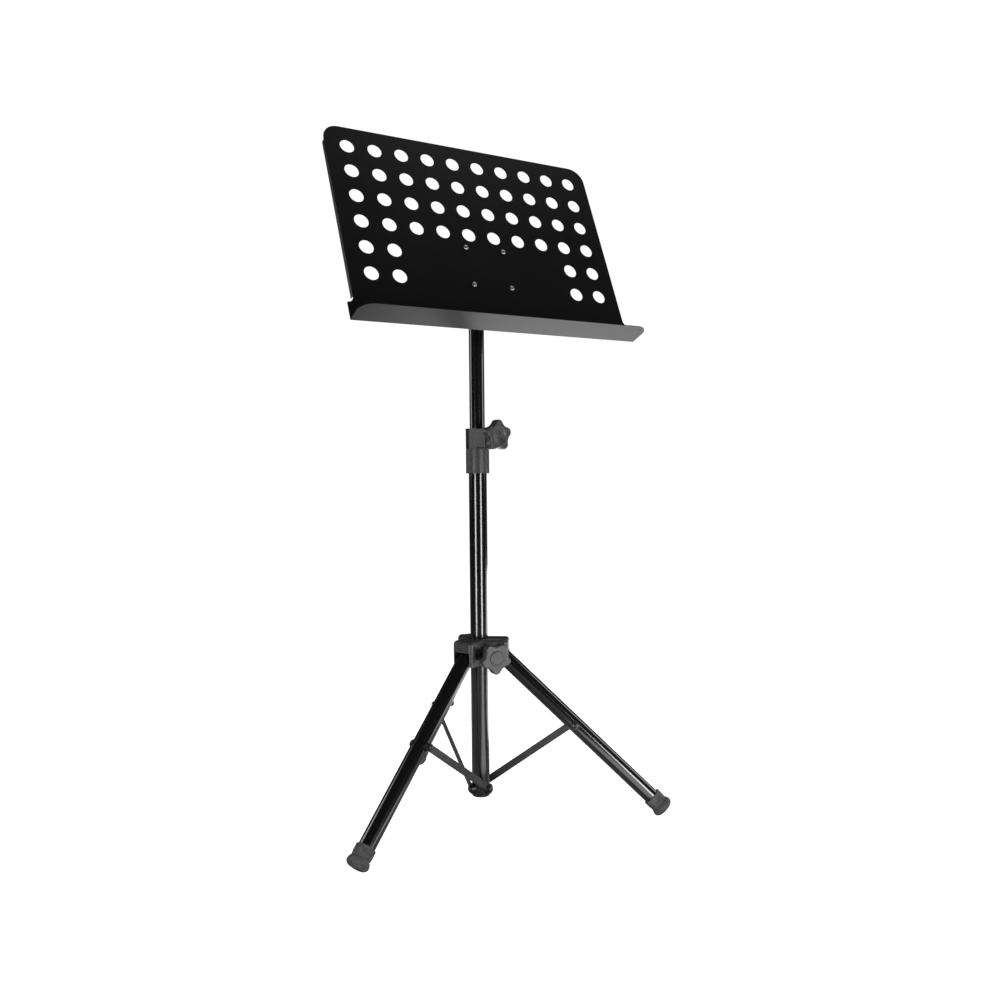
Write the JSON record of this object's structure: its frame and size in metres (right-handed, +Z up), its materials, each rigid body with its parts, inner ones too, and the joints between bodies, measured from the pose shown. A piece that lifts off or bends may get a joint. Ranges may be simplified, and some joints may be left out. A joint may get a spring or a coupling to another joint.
{
  "type": "music stand",
  "caption": "Folding orchestral music stand: punched sheet-steel desk on a telescopic mast over a folding tripod with braced tube legs.",
  "frame": {"origin": "middle of the footprint's bounding box, on the floor plane", "axes": "+Z up, the desk faces -Y, +X is to the right of a player who faces the desk"},
  "size_m": [0.5538, 0.507, 1.1254],
  "materials": {
    "desk_paint": "satin black powder coat",
    "bracket_paint": "satin black powder coat",
    "tube_paint": "gloss black enamel",
    "brace_paint": "satin black",
    "dark_plastic": "fine-grained dark grey moulding",
    "natural_plastic": "smooth natural nylon",
    "fibre": "red-brown vulcanised fibre",
    "foot_rubber": "matte black rubber",
    "zinc_steel": "bright zinc plate",
    "black_steel": "black oxide"
  },
  "bodies": {
    "mast": {"outer_tube": "tube_paint", "mast_end_plug": "dark_plastic", "height_collar": "dark_plastic", "collar_nut": "zinc_steel", "brace_rivets": "black_steel", "brace_washers": "black_steel"},
    "collar_clamp": {"collar_knob": "dark_plastic", "collar_stud": "zinc_steel"},
    "guide": {"guide_bush": "natural_plastic"},
    "inner_mast": {"inner_tube": "tube_paint", "tilt_head": "dark_plastic", "head_pin": "black_steel"},
    "desk": {"music_desk": "desk_paint", "desk_bracket": "bracket_paint", "desk_screws": "zinc_steel", "desk_nuts": "zinc_steel", "tilt_bolt": "zinc_steel", "tilt_washer": "zinc_steel", "friction_washers": "fibre"},
    "tilt_clamp": {"tilt_knob": "dark_plastic"},
    "hub": {"tripod_hub": "dark_plastic", "hub_nut": "zinc_steel", "pivot_bolts": "black_steel", "pivot_nuts": "black_steel"},
    "hub_clamp": {"hub_knob": "dark_plastic", "hub_stud": "zinc_steel"},
    "leg_left": {"leg_left": "tube_paint", "leg_plug_left": "dark_plastic", "foot_left": "foot_rubber", "brace_bolt_left": "black_steel", "brace_spacer_left": "black_steel"},
    "brace_left": {"brace_left": "brace_paint", "brace_nut_left": "black_steel"},
    "leg_right": {"leg_right": "tube_paint", "leg_plug_right": "dark_plastic", "foot_right": "foot_rubber", "brace_bolt_right": "black_steel", "brace_spacer_right": "black_steel"},
    "brace_right": {"brace_right": "brace_paint", "brace_nut_right": "black_steel"},
    "leg_rear": {"leg_rear": "tube_paint", "leg_plug_rear": "dark_plastic", "foot_rear": "foot_rubber", "brace_bolt_rear": "black_steel", "brace_spacer_rear": "black_steel"},
    "brace_rear": {"brace_rear": "brace_paint", "brace_nut_rear": "black_steel"}
  },
  "joints": [
    {"name": "height_slide", "type": "slide", "parent": "mast", "child": "guide", "axis": [0, 0, 1], "range_m": [-0.11, 0.22]},
    {"name": "mast_turn", "type": "hinge", "parent": "guide", "child": "inner_mast", "pos_m": [0.01291, -0.06277, 0.5], "axis": [0, 0, 1], "continuous": true},
    {"name": "desk_tilt", "type": "hinge", "parent": "inner_mast", "child": "desk", "pos_m": [0.01291, -0.06277, 0.887], "axis": [-1, 0, 0], "range_deg": [-20, 60]},
    {"name": "tilt_knob_turn", "type": "hinge", "parent": "desk", "child": "tilt_clamp", "pos_m": [0.04291, -0.06277, 0.887], "axis": [1, 0, 0], "range_deg": [0, 720]},
    {"name": "collar_knob_turn", "type": "hinge", "parent": "mast", "child": "collar_clamp", "pos_m": [0.02159, -0.11202, 0.6335], "axis": [0.1736, -0.9848, 0], "range_deg": [0, 720]},
    {"name": "hub_slide", "type": "slide", "parent": "mast", "child": "hub", "axis": [0, 0, 1], "range_m": [0, 0.1335]},
    {"name": "hub_knob_turn", "type": "hinge", "parent": "hub", "child": "hub_clamp", "pos_m": [0.00855, -0.11259, 0.271], "axis": [-0.0872, -0.9962, 0], "range_deg": [0, 720]},
    {"name": "leg_left_hinge", "type": "hinge", "parent": "hub", "child": "leg_left", "pos_m": [-0.0179, -0.07714, 0.271], "axis": [0.4226, -0.9063, 0], "range_deg": [0, 43.5]},
    {"name": "brace_left_hinge", "type": "hinge", "parent": "mast", "child": "brace_left", "pos_m": [0.02018, -0.07836, 0.042], "axis": [-0.4226, 0.9063, 0], "range_deg": [0, 42.97]},
    {"name": "leg_right_hinge", "type": "hinge", "parent": "hub", "child": "leg_right", "pos_m": [0.04076, -0.08228, 0.271], "axis": [0.5736, 0.8192, 0], "range_deg": [0, 43.5]},
    {"name": "brace_right_hinge", "type": "hinge", "parent": "mast", "child": "brace_right", "pos_m": [0.02278, -0.04869, 0.042], "axis": [-0.5736, -0.8192, 0], "range_deg": [0, 42.97]},
    {"name": "leg_rear_hinge", "type": "hinge", "parent": "hub", "child": "leg_rear", "pos_m": [0.01588, -0.0289, 0.271], "axis": [-0.9962, 0.0872, 0], "range_deg": [0, 43.5]},
    {"name": "brace_rear_hinge", "type": "hinge", "parent": "mast", "child": "brace_rear", "pos_m": [-0.00422, -0.06128, 0.042], "axis": [0.9962, -0.0872, 0], "range_deg": [0, 42.97]}
  ],
  "couplings": [
    {"joint": "leg_left_hinge", "follows": "hub_slide", "rad_per_m": 5.6739},
    {"joint": "brace_left_hinge", "follows": "hub_slide", "rad_per_m": 5.6047},
    {"joint": "leg_right_hinge", "follows": "hub_slide", "rad_per_m": 5.6739},
    {"joint": "brace_right_hinge", "follows": "hub_slide", "rad_per_m": 5.6047},
    {"joint": "leg_rear_hinge", "follows": "hub_slide", "rad_per_m": 5.6739},
    {"joint": "brace_rear_hinge", "follows": "hub_slide", "rad_per_m": 5.6047}
  ]
}
